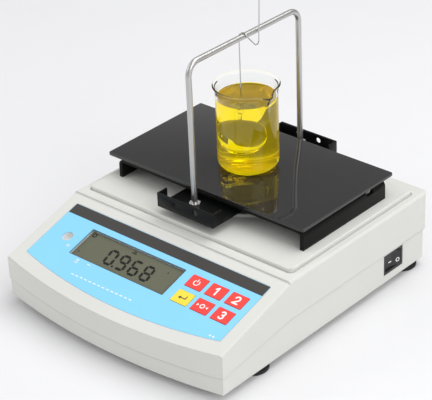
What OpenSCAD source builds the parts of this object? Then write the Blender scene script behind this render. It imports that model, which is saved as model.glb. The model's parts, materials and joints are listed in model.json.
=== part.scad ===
// Benchtop density meter: low plastic case with a sloping keypad, a weighing tray
// and hanger on a load cell, and a bridge that carries a beaker clear of the tray.
// Millimetres. X to the right, Y to the back, Z up. The origin is on the bench,
// under the middle of the case.

/* [Case] */
// Width over the side walls
case_w = 190; // [185:1:210]
// Length along the side walls
case_l = 211; // [206:1:240]
// Bulge of the front wall at its middle
front_bow = 10; // [5:0.5:14]
// Wall thickness of both mouldings
case_wall = 2.5; // [2:0.1:3]
// Height of the front edge above the underside
front_h = 29.4; // [28:0.1:33]
// Length of the sloping panel, measured level
slope_run = 65.5; // [64:0.5:70]
// Tilt of the sloping panel
slope_angle = 16.5; // [15:0.5:18]
// Step from the top of the slope up to the deck
deck_step = 1.2; // [0.6:0.1:2]
// Rounding along the deck's side edges
edge_r = 2; // [1.5:0.5:5]
// Rounding along the sloping panel's side edges
slope_edge_r = 1.5; // [1:0.5:4]
// Rounding of the upright rear corners
corner_r = 3; // [1.5:0.5:6]
// Clear height of the underside above the bench
foot_gap = 6; // [6:0.5:9]
// Height of the parting line above the underside, at the front corners
seam_front_h = 12.3; // [11:0.1:14]
// Height of the parting line above the underside, along the deck
seam_deck_h = 22; // [20:0.5:24]
// How far the lower moulding stands inside the upper one at the front and sides
lower_inset = 0.6; // [0.3:0.1:1.5]
// How far it stands inside the upper one at the back
rear_inset = 2; // [0.6:0.1:2.5]
// Height of the tongue that locates the two mouldings
lip_h = 3; // [2:0.5:4]
// Side clearance of the tongue
lip_gap = 0.2; // [0.1:0.05:0.3]

/* [Platform] */
// Distance of the raised platform in from the sides
platform_side = 6; // [5:0.5:9]
// Distance of the platform's front edge behind the front corners
platform_front = 73.6; // [72:0.1:75]
// Length of the platform
platform_l = 128.3; // [126:0.1:132]
// Rise of the platform above the deck
platform_rise = 2.8; // [2:0.1:4]
// Rounding of the platform's corners in plan
platform_corner_r = 3; // [2:0.5:6]
// Rounding of the platform's top edge
platform_edge_r = 1; // [0.5:0.1:1.5]
// Width and depth of the groove round the platform
groove = 0.8; // [0.4:0.1:1.2]
// Distance of the weighing axis behind the front corners
pan_back = 137.9; // [137.5:0.1:138.5]
// Outer radius of the ring moulded round the weighing axis
ring_r = 40; // [34:1:44]
// Height of that ring
ring_h = 2; // [1.5:0.5:4]
// Thickness of that ring
ring_wall = 2; // [1.5:0.5:3]
// Radius of the hole that the pan post passes through
post_hole_r = 9; // [8:0.5:10]

/* [Keypad] */
// Distance of the printed overlay in from the sides
overlay_side = 9.3; // [8:0.1:11]
// Distance of the overlay's front corners up the slope
overlay_s0 = 9.5; // [8:0.1:11]
// Distance of the overlay's top edge up the slope
overlay_s1 = 60.4; // [59:0.1:63]
// Thickness of the overlay
overlay_t = 0.5; // [0.4:0.05:0.7]
// Width of one key
key_w = 13.2; // [12:0.1:14]
// Length of one key up the slope
key_l = 10.2; // [9:0.1:11]
// Sideways pitch of the keys
key_pitch = 16.7; // [16:0.1:17]
// Pitch of the two rows up the slope
key_row_pitch = 14.3; // [13.5:0.1:15]
// Distance of the first column of keys in from the right side
key_side = 54.8; // [53:0.1:56]
// Place of the upper row up the slope
key_s0 = 41; // [40:0.1:42]
// Height of a key above the overlay
key_rise = 0.3; // [0.2:0.1:0.8]
// Travel of a key
key_travel = 0.3; // [0.2:0.1:0.5]
// Side clearance of a key in the overlay
key_gap = 0.3; // [0.2:0.05:0.5]
// Radius of a key's stem
key_stem_r = 2; // [1.5:0.1:2.5]
// Thickness of a key's retaining flange
key_flange_t = 0.8; // [0.6:0.1:1]

/* [Display] */
// Distance from the level to the window's left edge
window_from_level = 12; // [11:0.1:14]
// Length of the display window up the slope
window_l = 24; // [22:0.2:26]
// Distance from the window's right edge to the first column of keys
window_from_keys = 14.2; // [13:0.1:16]
// Place of the window's middle up the slope
window_s = 34.4; // [33:0.1:36]
// Thickness of the clear pane
pane_t = 1; // [0.8:0.1:1.5]
// Width of the ledge that the pane rests on
pane_ledge = 1.5; // [1:0.1:2]
// Thickness of the liquid-crystal glass
lcd_t = 2; // [1.5:0.1:2.5]
// Width of the plastic frame round the glass
lcd_frame_w = 2; // [1.5:0.1:2.5]
// Depth of the key board below the panel surface
board_depth = 8.4; // [8:0.1:9]
// Thickness of the circuit boards
pcb_t = 1.6; // [1.2:0.1:2]

/* [Level] */
// Distance of the spirit level in from the left side
level_side = 25.6; // [24:0.1:27]
// Place of the spirit level up the slope
level_s = 33.4; // [32:0.1:35]
// Radius of the level's lens
level_r = 4; // [3.5:0.1:4.5]

/* [Weighing tray] */
// Width of the tray
tray_w = 49.2; // [46:0.2:54]
// Length of the tray over its end walls
tray_l = 129; // [128:0.5:134]
// Height of the end walls
tray_h = 10.2; // [9:0.1:11]
// Thickness of the sheet
tray_t = 1.2; // [1:0.1:1.5]
// Height of the tray's underside above the platform
tray_lift = 6.2; // [6:0.1:8]
// Length of the return flanges at the corners
tray_flange = 9; // [7:0.5:9]
// Radius of the holes in the end walls
tray_hole_r = 1.9; // [1.5:0.1:2.5]
// Pitch of the two holes in each end wall
tray_hole_pitch = 17.6; // [15:0.2:20]
// Distance of those holes below the walls' top
tray_hole_down = 4.2; // [4:0.1:5]

/* [Hanger] */
// Radius of the hanger rod
rod_r = 2; // [1.8:0.1:2.2]
// Pitch of the two posts
post_pitch = 109.2; // [109:0.1:112]
// Height of the bar's axis above the tray floor
bar_h = 105; // [100:0.5:112]
// Bend radius of the rod
bend_r = 9; // [7:0.5:12]
// Thickness of the nuts under the tray
nut_h = 2.4; // [2:0.1:2.6]
// Thickness of the nuts on top of the tray
long_nut_h = 5.6; // [4:0.1:7]
// Width across the flats of those nuts
nut_flats = 7; // [6.5:0.1:8]
// Radius of the suspension wire
wire_r = 0.4; // [0.3:0.05:0.5]
// Clearance between the wire and the bar
wire_gap = 0.15; // [0.1:0.05:0.3]
// Place of the hanging strand in front of the weighing axis
strand_front = 2.6; // [1:0.1:4]
// Depth of the wire's lower eye below the bar's axis
eye_drop = 48.7; // [46:0.1:50]
// Radius of the wire's eye, to the middle of the wire
eye_r = 2; // [1.8:0.1:2.4]
// Height of the wire's tail above the bar's axis
tail_h = 23.3; // [20:0.1:30]
// Depth of the bend in the wire's tail below the bar's axis
tail_drop = 6.3; // [5:0.1:8]

/* [Bridge and beaker] */
// Distance of the bridge's legs in from the platform's sides
bridge_side = 7.7; // [6:0.1:10]
// Length of the bridge from front to back
bridge_l = 86.6; // [80:0.2:90]
// Distance of the bridge's front edge behind the front corners
bridge_front = 95.4; // [94.5:0.1:97]
// Thickness of the bridge
bridge_t = 2; // [1.5:0.1:2.2]
// Thickness of the legs
leg_t = 3; // [2:0.1:4]
// Outer radius of the bends from the bridge's top into its legs
leg_bend_r = 4.4; // [3.5:0.1:6]
// Height of the slot in each leg
leg_slot_h = 2.8; // [2:0.1:3.2]
// Length of that slot
leg_slot_l = 7.4; // [4:0.1:8]
// Distance of the slot's middle from the rear of the leg
leg_slot_back = 16.5; // [12:0.1:20]
// Distance of the slot's middle below the top of the bridge
leg_slot_down = 1.1; // [1:0.1:3]
// Thickness of the top plate
plate_t = 2.4; // [2:0.1:3]
// Reach of the top plate past the left leg
plate_over_left = 9.2; // [4:0.1:12]
// Reach of the top plate past the rear of the bridge
plate_over_back = 8.1; // [6:0.1:8.1]
// Height of the plate's top above the platform
plate_h = 16; // [15.8:0.1:18]
// Thickness of the rubber strips under the legs
pad_t = 1; // [0.6:0.1:1.5]
// Outer radius of the beaker
beaker_r = 21; // [20:0.25:23]
// Height of the beaker
beaker_h = 60.5; // [58:0.5:64]
// How far the beaker stands left of the weighing axis
beaker_left = 2.4; // [0:0.1:5]
// How far the beaker stands behind the weighing axis
beaker_behind = 2.7; // [0:0.1:5]
// Wall of the beaker
beaker_wall = 1.3; // [1:0.1:1.6]
// Rounding of the beaker's foot
beaker_foot_r = 5; // [3:0.5:6]
// Flare of the beaker's rim
rim_flare = 2.5; // [1.5:0.1:3]
// Reach of the beaker's spout past its wall
spout_out = 6; // [4:0.1:8]
// Radius of the spout at the rim
spout_r = 3.6; // [3:0.1:4.5]
// Depth below the rim at which the spout begins
spout_drop = 11; // [9:0.5:14]
// Turn of the spout to the front from straight right
spout_turn = 14; // [0:1:45]
// Radius of the sinker
sinker_r = 5.5; // [4:0.25:7]
// Length of the sinker's body
sinker_l = 24; // [18:1:28]

/* [Load cell] */
// Length of the load cell
cell_l = 80; // [74:1:90]
// Width of the load cell
cell_w = 25; // [20:1:30]
// Height of the load cell
cell_h = 20; // [18:0.5:21]
// Radius of the two bores that make it bend
cell_bore_r = 6.5; // [5:0.25:7]
// Pitch of those bores
cell_bore_pitch = 24; // [20:1:28]
// Gap under the free end, closed by the stop screw at overload
stop_gap = 0.35; // [0.3:0.05:0.5]
// Gap between the pan carrier and the cell
carrier_gap = 0.3; // [0.3:0.05:0.5]
// Thickness of the pan carrier
carrier_t = 5; // [4:0.5:6]
// Radius of the pan post
post_r = 6; // [5:0.5:7]
// Thickness of the chassis plate
chassis_t = 3; // [2:0.5:3]
// Radius of the M4 screws
m4_r = 2; // [1.8:0.1:2.2]
// Radial clearance of a screw in its hole
screw_gap = 0.1; // [0.05:0.05:0.15]

/* [Power switch and sockets] */
// Length of the switch bezel from front to back
switch_l = 20.6; // [20:0.1:22]
// Height of the switch bezel
switch_h = 15; // [14:0.1:15.5]
// Distance of the switch behind the front corners
switch_back = 174; // [172:0.5:176]
// Height of the switch's middle above the underside
switch_up = 13; // [12:0.1:13.5]
// Thickness of the bezel
bezel_t = 0.8; // [0.5:0.1:0.9]
// Depth of the recess in the wall that the bezel sits in
switch_recess = 1.1; // [1:0.1:1.3]
// Tilt of the rocker either side of level
rocker_tilt = 8; // [6:0.5:9]
// Radius of the rocker's trunnions
trunnion_r = 1; // [0.8:0.1:1.2]
// Running clearance of the trunnions
trunnion_gap = 0.06; // [0.04:0.01:0.1]
// Radius of the power socket's opening
jack_r = 3; // [2.8:0.1:3.2]
// Radius of the power socket's centre pin
jack_pin_r = 1; // [0.8:0.1:1.2]
// Distance from the power socket to the rear right case screw
jack_from_screw = 16; // [14:1:24]
// Distance from the data socket to the rear left case screw
port_from_screw = 20; // [20:1:28]

/* [Feet] */
// Radius of the rubber feet
foot_r = 11; // [9:0.5:12]
// Thickness of the rubber feet
foot_t = 3.2; // [3:0.1:3.4]
// Distance of the feet in from the sides
foot_side = 13; // [13:0.5:20]
// Distance of the front feet behind the front corners
foot_front = 42; // [34:1:46]
// Distance of the rear feet behind the front corners
foot_rear = 199; // [192:1:199]
// Radius of the foot studs
stud_r = 3; // [2.5:0.1:3.5]
// Running clearance of the studs
stud_gap = 0.1; // [0.05:0.01:0.1]
// Travel of each foot
foot_travel = 4; // [2:0.5:5]

/* [Hidden] */
$fn = 96;
over = 1;              // how far a cutting tool runs past a face
far = 400;             // larger than the whole part

y_back = (case_l + front_bow) / 2;
y_corner = y_back - case_l;
y_front = y_corner - front_bow;
y_crease = y_corner + slope_run;
bow_r = (pow(case_w / 2, 2) + pow(front_bow, 2)) / (2 * front_bow);

x_side = case_w / 2;
platform_w = case_w - 2 * platform_side;
overlay_w = case_w - 2 * overlay_side;
key_x0 = x_side - key_side;
level_x = level_side - x_side;
window_w = key_x0 - window_from_keys - level_x - window_from_level;
window_x = level_x + window_from_level + window_w / 2;
bridge_w = platform_w - 2 * bridge_side;
foot_x = x_side - foot_side;

z_under = foot_gap;
z_floor = z_under + case_wall;
z_front = z_under + front_h;
z_deck = z_front + slope_run * tan(slope_angle) + deck_step;
z_platform = z_deck + platform_rise;
z_seam_front = z_under + seam_front_h;
z_seam_deck = z_under + seam_deck_h;
seam_slope = (z_seam_deck - z_seam_front) / slope_run;

pan_y = y_corner + pan_back;
z_tray = z_platform + tray_lift;
z_tray_floor = z_tray + tray_t;
z_bar = z_tray_floor + bar_h;
z_plate = z_platform + plate_h;
z_bridge = z_plate - plate_t;

overlay_bow = overlay_s0 + 0.5;
overlay_bow_r = (pow(overlay_w / 2, 2) + pow(overlay_bow, 2)) / (2 * overlay_bow);
fit_gap = 0.2;         // side clearance of a piece that is laid in a recess
key_corner_r = 0.6;
key_hole_gap = key_gap + 0.1;
key_flange_over = 0.8; // reach of a key's flange past its cap
flange_drop = 0.3;     // gap of the flange below the panel
dome_t = 0.6;
dome_gap = 0.2;        // gap that is left under a pressed key
pane_seat = overlay_t + pane_t;
pane_w = window_w + 2 * pane_ledge;
pane_l = window_l + 2 * pane_ledge;
lcd_top = case_wall + 0.6;    // depth of the display frame's top
lcd_face = pane_seat + 0.2;   // depth of the glass's face
lcd_gap = 0.3;                // side gap of the glass in the case's opening
board_x = 4;
board_w = case_w - 40;
board_l = 42;
board_s = 33;
board_screw_x = board_w / 2 - 4;
board_screw_s = board_l / 2 - 3.5;
tongue_out = case_wall + lip_gap;   // distance of the tongue inside the case's outline
tongue_t = 1.3;
small_r = 1.25;        // radius of the small self-tapping screws
small_head_r = 2.5;
small_head_h = 1.6;
pilot_gap = 0.05;
boss_r = 3.2;

split_h = 10;
z_split = z_under + split_h;   // where the screw bosses of the two mouldings meet
case_boss_r = 4.5;
case_screw_front_x = x_side - 9;
case_screw_rear_x = x_side - 33;
case_screw_grip = 4;      // thread of a case screw in the upper moulding
case_screw_front = 14;
case_screw_rear = case_l - 12;
case_screw_r = 1.5;
case_head_r = 3;
case_head_h = 2.4;
case_head_sink = 1.2;     // screw heads sit this deep in the underside

foot_pin_r = 2;
foot_pin_h = 1.8;
foot_gap_v = 0.1;         // gap between a foot's pad and its screw
knob_r = foot_r - 2;
knob_t = 1.9;
stud_grip = 7;            // thread left in the case when a foot is fully out
stud_l = stud_grip + foot_travel;
stud_boss_r = stud_r + 3;
stud_boss_h = stud_l + 1;

chassis_w = 70;
chassis_l = 100;
chassis_boss_h = 3;
chassis_boss_r = 4;
chassis_screw_in = 6;     // distance of the plate's screws from its edges
z_chassis = z_floor + chassis_boss_h;
z_chassis_top = z_chassis + chassis_t;
spacer_h = 3;
spacer_l = 25;
z_cell = z_chassis_top + spacer_h;
z_cell_top = z_cell + cell_h;
cell_screw_in = 8;        // distance of the cell's first screw from its end
cell_screw_pitch = 12;
cell_slot = 3;            // width of the slot between the cell's bores
z_carrier = z_cell_top + carrier_gap;
z_carrier_top = z_carrier + carrier_t;
carrier_w = cell_w;
m4_head_r = 3.5;
m4_head_h = 2.6;
m4_grip = 9;              // length of thread in the load cell
m4_tip_gap = 1;
stop_r = 2.5;
stop_nut_h = 2;
stop_nut_r = 4.6;
tray_screw_head_h = 1.3;
tray_screw_head_r = 4;
tray_screw_l = 10;
seal_h = 2;
seal_w = 5;

main_gap = 6;             // gap from the board to the chassis plate
main_wall_gap = 3.5;      // gap from the board to the wall
main_w = x_side - lower_inset - case_wall - main_wall_gap - main_gap - chassis_w / 2;
main_l = 96;
main_x = -(chassis_w / 2 + main_gap + main_w / 2);
main_back = 140;
main_lift = 5;
chip_h = 1.6;
block_h = 10;
main_screw_in = 4;

switch_inset = 0.9;       // width of the bezel's rim past the panel cut-out
switch_depth = 13;
rocker_gap = 0.9;         // gap at the rocker's two ends
rocker_side_gap = 0.3;
rocker_wall = 0.9;        // wall of the housing round the rocker
rocker_depth = 3.4;       // depth of the trunnions below the bezel's face
rocker_rise = 3.1;        // height of the rocker's ends above the trunnions
rocker_well = 7.4;
port_w = 31;
port_h = 12.5;
port_depth = 8;
jack_w = 11;
jack_h = 11;
jack_depth = 12;
jack_hole_depth = 9;
socket_lip = 1;           // thickness of the sockets' flange behind the wall
jack_x = case_screw_rear_x - jack_from_screw;
port_x = port_from_screw - case_screw_rear_x;
y_lower_back = y_back - rear_inset;
z_socket = z_under + 12;
x_lower = case_w / 2 - lower_inset;

// ---------------------------------------------------------------- helpers

// Moves its children into the frame of the sloping panel: x sideways, y up the slope
// from the line of the front corners, z out of the surface.
module on_slope() {
    translate([0, y_corner, z_front]) rotate([slope_angle, 0, 0]) children();
}

// A drawing in x and z, extruded along Y from y0 for a length l.
module along_y(y0, l) {
    translate([0, y0 + l, 0]) rotate([90, 0, 0]) linear_extrude(l) children();
}

// A drawing in y and z, extruded along X from x0 for a width w.
module along_x(x0, w) {
    translate([x0, 0, 0]) rotate([90, 0, 90]) linear_extrude(w) children();
}

module rounded_rect(w, l, r) {
    square([w, l - 2 * r], center = true);
    square([w - 2 * r, l], center = true);
    for (sx = [-1, 1], sy = [-1, 1])
        translate([sx * (w / 2 - r), sy * (l / 2 - r)]) circle(r);
}

// A block with rounded corners in plan, standing on z0.
module rounded_block(w, l, h, r, z0 = 0) {
    translate([0, 0, z0]) linear_extrude(h) rounded_rect(w, l, r);
}

// A section with its top at zero and both top corners rounded.
module top_section(w, h, r) {
    translate([-w / 2, -h]) square([w, h - r]);
    translate([-w / 2 + r, -h]) square([w - 2 * r, h]);
    for (sx = [-1, 1]) translate([sx * (w / 2 - r), -r]) circle(r);
}

module tube(r_out, r_in, h) {
    difference() {
        cylinder(r = r_out, h = h);
        translate([0, 0, -over]) cylinder(r = r_in, h = h + 2 * over);
    }
}

module mirror_x() {
    children();
    mirror([1, 0, 0]) children();
}

// A screw with a flat head on top: the head rests on z = 0 and the shank runs down.
module screw(r, l, head_r, head_h) {
    translate([0, 0, -l]) cylinder(r = r, h = l);
    cylinder(r = head_r, h = head_h);
}

module nut(r, h, bore) {
    difference() {
        cylinder(r = r, h = h, $fn = 6);
        translate([0, 0, -over]) cylinder(r = bore, h = h + 2 * over);
    }
}

// ---------------------------------------------------------------- case

// Outline of the case in plan, moved inwards by inset, and by rear at the back.
module plan(inset, rear) {
    y0 = y_front + inset;
    l = y_back - rear - y0;
    intersection() {
        translate([0, y0 + l / 2]) rounded_rect(case_w - 2 * inset, l, max(corner_r - inset, 0.5));
        translate([0, y_front + bow_r]) circle(bow_r - inset, $fn = 720);
    }
}

// Everything below the parting line, raised by lift.
module below_seam(lift) {
    reach = front_bow + 5;
    along_x(-far / 2, far) polygon([
        [y_corner - reach, z_under - far],
        [y_corner - reach, z_seam_front - reach * seam_slope + lift],
        [y_crease, z_seam_deck + lift],
        [y_back + reach, z_seam_deck + lift],
        [y_back + reach, z_under - far]
    ]);
}

// The outer form of the case, moved inwards by inset.
module case_form(inset) {
    w = case_w - 2 * inset;
    intersection() {
        translate([0, 0, z_under]) linear_extrude(z_deck) plan(inset, inset);
        union() {
            along_y(y_crease + inset, case_l) translate([0, z_deck - inset])
                top_section(w, z_deck, max(edge_r - inset, 1));
            intersection() {
                on_slope() along_y(-4 * front_bow, case_l) translate([0, -inset])
                    top_section(w, 2 * z_deck, max(slope_edge_r - inset, 0.5));
                translate([-far / 2, y_crease + inset + over - far, -far / 2]) cube([far, far, far]);
            }
        }
    }
}

module platform_plan(grow) {
    translate([0, y_corner + platform_front + platform_l / 2])
        rounded_rect(platform_w + 2 * grow, platform_l + 2 * grow, platform_corner_r + grow);
}

module platform() {
    z0 = z_deck - case_wall;
    h = z_platform - z0;
    y0 = y_corner + platform_front;
    intersection() {
        translate([0, 0, z0]) linear_extrude(h) platform_plan(0);
        along_y(y0 - over, platform_l + 2 * over) translate([0, z_platform])
            top_section(platform_w, h + over, platform_edge_r);
        along_x(-platform_w / 2 - over, platform_w + 2 * over)
            translate([y0 + platform_l / 2, z_platform]) top_section(platform_l, h + over, platform_edge_r);
    }
}

module key_places() {
    for (row = [0, 1], column = [0, 1, 2])
        translate([key_x0 + column * key_pitch, key_s0 - row * key_row_pitch, 0]) children();
}

module board_screw_places() {
    for (sx = [-1, 1], ss = [-1, 1])
        translate([board_x + sx * board_screw_x, board_s + ss * board_screw_s, 0]) children();
}

module case_screw_places() {
    for (sx = [-1, 1]) {
        translate([sx * case_screw_front_x, y_corner + case_screw_front, 0]) children();
        translate([sx * case_screw_rear_x, y_corner + case_screw_rear, 0]) children();
    }
}

module overlay_plan(grow) {
    w = overlay_w + 2 * grow;
    s_low = overlay_s0 - overlay_bow - grow;
    s_high = overlay_s1 + grow;
    intersection() {
        translate([0, (s_low + s_high) / 2]) rounded_rect(w, s_high - s_low, 1.5 + grow);
        translate([0, s_low + overlay_bow_r + grow]) circle(overlay_bow_r + grow, $fn = 720);
    }
}

module panel_cuts() {
    translate([0, 0, -overlay_t]) linear_extrude(far) overlay_plan(fit_gap);
    translate([window_x, window_s, 0]) {
        rounded_block(pane_w + 2 * fit_gap, pane_l + 2 * fit_gap, pane_seat + over, 1, -pane_seat);
        rounded_block(window_w, window_l, far / 4, 1, -far / 8);
    }
    key_places() rounded_block(key_w + 2 * key_hole_gap, key_l + 2 * key_hole_gap, 12,
                               key_corner_r + key_hole_gap, -8);
    translate([level_x, level_s, -8]) cylinder(r = level_r + 1, h = 12);
}

module upper_case() {
    color("#e4e3dc") difference() {
        union() {
            difference() {
                union() {
                    case_form(0);
                    platform();
                    translate([0, pan_y, z_platform - case_wall])
                        tube(ring_r, ring_r - ring_wall, ring_h + case_wall);
                }
                case_form(case_wall);
                below_seam(0);
                translate([0, 0, z_deck - case_wall - over]) linear_extrude(platform_rise + over)
                    platform_plan(-case_wall);
                translate([0, 0, z_deck - groove]) linear_extrude(groove + over) difference() {
                    platform_plan(groove);
                    platform_plan(0);
                }
            }
            intersection() {
                case_screw_places() translate([0, 0, z_split]) cylinder(r = case_boss_r, h = z_deck);
                case_form(case_wall / 2);
            }
            on_slope() board_screw_places() translate([0, 0, -board_depth])
                cylinder(r = boss_r, h = board_depth - case_wall / 2);
        }
        on_slope() panel_cuts();
        on_slope() board_screw_places() translate([0, 0, -board_depth - over])
            cylinder(r = small_r + pilot_gap, h = 6 + over);
        case_screw_places() translate([0, 0, z_split - over])
            cylinder(r = case_screw_r + pilot_gap, h = case_screw_grip + 6 + over);
        translate([0, pan_y, z_deck - far / 8]) cylinder(r = post_hole_r, h = far / 4);
    }
}

module foot_places() {
    for (sx = [-1, 1], back = [foot_front, foot_rear])
        translate([sx * foot_x, y_corner + back, 0]) children();
}

module chassis_places() {
    x = chassis_w / 2 - chassis_screw_in;
    y = chassis_l / 2 - chassis_screw_in;
    for (sx = [-1, 1], sy = [-1, 1]) translate([sx * x, pan_y + sy * y, 0]) children();
}

module main_board_places() {
    for (sx = [-1, 1], sy = [-1, 1])
        translate([main_x + sx * (main_w / 2 - main_screw_in),
                   y_corner + main_back + sy * (main_l / 2 - main_screw_in), 0]) children();
}

// The rib inside the lower wall that reaches up into the upper moulding.
module tongue() {
    intersection() {
        translate([0, 0, z_under]) linear_extrude(z_deck) difference() {
            plan(tongue_out, tongue_out);
            plan(tongue_out + tongue_t, tongue_out + tongue_t);
        }
        difference() {
            below_seam(lip_h);
            below_seam(-lip_h);
        }
    }
}

module lower_case() {
    color("#dddcd4") difference() {
        union() {
            difference() {
                intersection() {
                    translate([0, 0, z_under]) linear_extrude(z_deck) plan(lower_inset, rear_inset);
                    below_seam(0);
                }
                translate([0, 0, z_floor]) linear_extrude(z_deck)
                    plan(case_wall + lower_inset, case_wall + rear_inset);
            }
            tongue();
            case_screw_places() translate([0, 0, z_under]) cylinder(r = case_boss_r, h = z_split - z_under);
            foot_places() translate([0, 0, z_under]) cylinder(r = stud_boss_r, h = stud_boss_h);
            chassis_places() translate([0, 0, z_under])
                cylinder(r = chassis_boss_r, h = case_wall + chassis_boss_h);
            main_board_places() translate([0, 0, z_under]) cylinder(r = boss_r, h = case_wall + main_lift);
        }
        case_screw_places() {
            translate([0, 0, z_under - over])
                cylinder(r = case_head_r + 0.5, h = case_head_sink + case_head_h + over);
            translate([0, 0, z_under - over]) cylinder(r = case_screw_r + screw_gap, h = z_split);
        }
        foot_places() translate([0, 0, z_under - over])
            cylinder(r = stud_r + stud_gap, h = stud_boss_h + 2 * over);
        chassis_places() translate([0, 0, z_floor])
            cylinder(r = small_r + pilot_gap, h = chassis_boss_h + over);
        main_board_places() translate([0, 0, z_floor])
            cylinder(r = small_r + pilot_gap, h = main_lift + over);
        translate([x_seat, switch_y, switch_z]) {
            cube([4 * case_wall, switch_body_l + 2 * fit_gap, switch_body_h + 2 * fit_gap], center = true);
            translate([0, -switch_l / 2 - fit_gap, -switch_h / 2 - fit_gap])
                cube([far / 8, switch_l + 2 * fit_gap, switch_h + 2 * fit_gap]);
        }
        translate([jack_x, y_lower_back, z_socket]) rotate([90, 0, 0])
            cylinder(r = jack_r + 1.5, h = 4 * case_wall, center = true);
        translate([port_x, y_lower_back, z_socket])
            cube([port_w - 12, 4 * case_wall, port_h - 2.5], center = true);
    }
}

module case_screws() {
    color("#8d9092") case_screw_places()
        translate([0, 0, z_under + case_head_sink + case_head_h]) rotate([180, 0, 0])
            screw(case_screw_r, split_h + case_screw_grip, case_head_r, case_head_h);
}

// ---------------------------------------------------------------- keypad and display

module keypad_overlay() {
    color("#8fd8ff") on_slope() difference() {
        translate([0, 0, -overlay_t]) linear_extrude(overlay_t) overlay_plan(0);
        translate([window_x, window_s, 0])
            rounded_block(window_w, window_l, 4 * overlay_t, 1, -2 * overlay_t);
        key_places() rounded_block(key_w + 2 * key_gap, key_l + 2 * key_gap, 4 * overlay_t,
                                   key_corner_r + key_gap, -2 * overlay_t);
        translate([level_x, level_s, -2 * overlay_t]) cylinder(r = level_r, h = 4 * overlay_t);
    }
}

// One key: a cap in the overlay, a flange below the panel and a stem over its dome.
module key(column, row) {
    flange_top = -case_wall - flange_drop;
    stem_end = -board_depth + dome_t + dome_gap + key_travel;
    on_slope() translate([key_x0 + column * key_pitch, key_s0 - row * key_row_pitch, 0]) {
        rounded_block(key_w, key_l, key_rise - flange_top, key_corner_r, flange_top);
        rounded_block(key_w + 2 * key_flange_over, key_l + 2 * key_flange_over, key_flange_t,
                      key_corner_r, flange_top - key_flange_t);
        translate([0, 0, stem_end]) cylinder(r = key_stem_r, h = flange_top - stem_end);
    }
}

module key_power() {
    color("#ff4640") key(0, 0);
}

module key_one() {
    color("#ff4640") key(1, 0);
}

module key_two() {
    color("#ff4640") key(2, 0);
}

module key_enter() {
    color("#ffe146") key(0, 1);
}

module key_zero() {
    color("#ff4640") key(1, 1);
}

module key_three() {
    color("#ff4640") key(2, 1);
}

module key_board() {
    color("#2c6e49") on_slope() difference() {
        translate([board_x, board_s, 0]) rounded_block(board_w, board_l, pcb_t, 1, -board_depth - pcb_t);
        board_screw_places() translate([0, 0, -board_depth - pcb_t - over])
            cylinder(r = small_r + screw_gap, h = pcb_t + 2 * over);
        translate([level_x, level_s, -board_depth - pcb_t - over])
            cylinder(r = level_r + 2, h = pcb_t + 2 * over);
    }
}

module key_domes() {
    color("#c9ccd0") on_slope() key_places() translate([0, 0, -board_depth])
        cylinder(r1 = 4, r2 = 2.4, h = dome_t);
}

module key_board_screws() {
    color("#8d9092") on_slope() board_screw_places()
        translate([0, 0, -board_depth - pcb_t]) rotate([180, 0, 0])
            screw(small_r, 5 + pcb_t, small_head_r, small_head_h);
}

module display_window() {
    color([0.8, 0.85, 0.8, 0.4]) on_slope() translate([window_x, window_s, 0])
        rounded_block(pane_w, pane_l, pane_t, 1, -pane_seat);
}

module lcd_glass() {
    color("#6a6c5a") on_slope() translate([window_x, window_s, -lcd_face - lcd_t])
        rounded_block(window_w - 2 * lcd_gap, window_l - 2 * lcd_gap, lcd_t, 0.5);
}

module lcd_frame() {
    inner_w = window_w - 2 * lcd_gap + 2 * fit_gap;
    inner_l = window_l - 2 * lcd_gap + 2 * fit_gap;
    h = board_depth - lcd_top;
    seat = board_depth - lcd_face - lcd_t;
    color("#202224") on_slope() translate([window_x, window_s, -board_depth]) difference() {
        rounded_block(inner_w + 2 * lcd_frame_w, inner_l + 2 * lcd_frame_w, h, 1);
        rounded_block(inner_w, inner_l, h, 0.5, seat);
        rounded_block(inner_w - 4, inner_l - 4, h + 2 * over, 0.5, -over);
    }
}

module level_cup() {
    color("#f2f0e6") on_slope() translate([level_x, level_s, 0]) difference() {
        union() {
            translate([0, 0, -board_depth - 1]) cylinder(r = level_r + 0.8, h = board_depth + 1 - overlay_t);
            translate([0, 0, -case_wall - 1]) cylinder(r = level_r + 2.5, h = 1);
        }
        translate([0, 0, -4]) cylinder(r = level_r + 0.05, h = 4);
    }
}

module level_lens() {
    color([0.85, 0.8, 0.7, 0.5]) on_slope() translate([level_x, level_s, -overlay_t - 1.4])
        cylinder(r = level_r, h = 1.4);
}

// ---------------------------------------------------------------- electronics

module main_board() {
    z0 = z_floor + main_lift;
    color("#2c6e49") difference() {
        translate([main_x, y_corner + main_back, 0]) rounded_block(main_w, main_l, pcb_t, 1, z0);
        main_board_places() translate([0, 0, z0 - over])
            cylinder(r = small_r + screw_gap, h = pcb_t + 2 * over);
    }
}

// Microcontroller, converter, two capacitors, a relay block and two headers, placed and
// sized by the board they stand on.
module board_parts() {
    z0 = z_floor + main_lift + pcb_t;
    color("#26282b") translate([main_x, y_corner + main_back, z0]) {
        chip(-0.15, -0.08, 0.3, 0.15, chip_h);
        chip(-0.11, -0.38, 0.22, 0.08, chip_h);
        chip(-0.22, 0.19, 0.4, 0.12, block_h);
        for (x = [-0.36, 0.3]) translate([x * main_w, -0.29 * main_l, 0])
            cylinder(r = 0.087 * main_w, h = block_h);
        for (x = [-0.44, 0.33]) chip(x, -0.12, 0.11, 0.2, 0.8 * block_h);
    }
}

// A block on the board: its corner and its sides as shares of the board's width and length.
module chip(x, y, w, l, h) {
    translate([x * main_w, y * main_l, 0]) cube([w * main_w, l * main_l, h]);
}

module main_board_screws() {
    color("#8d9092") main_board_places() translate([0, 0, z_floor + main_lift + pcb_t])
        screw(small_r, main_lift + pcb_t - 0.5, small_head_r, small_head_h);
}

// ---------------------------------------------------------------- load cell

module cell_screw_places(side) {
    for (i = [0, 1])
        translate([0, pan_y + side * (cell_l / 2 - cell_screw_in - i * cell_screw_pitch), 0]) children();
}

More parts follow.
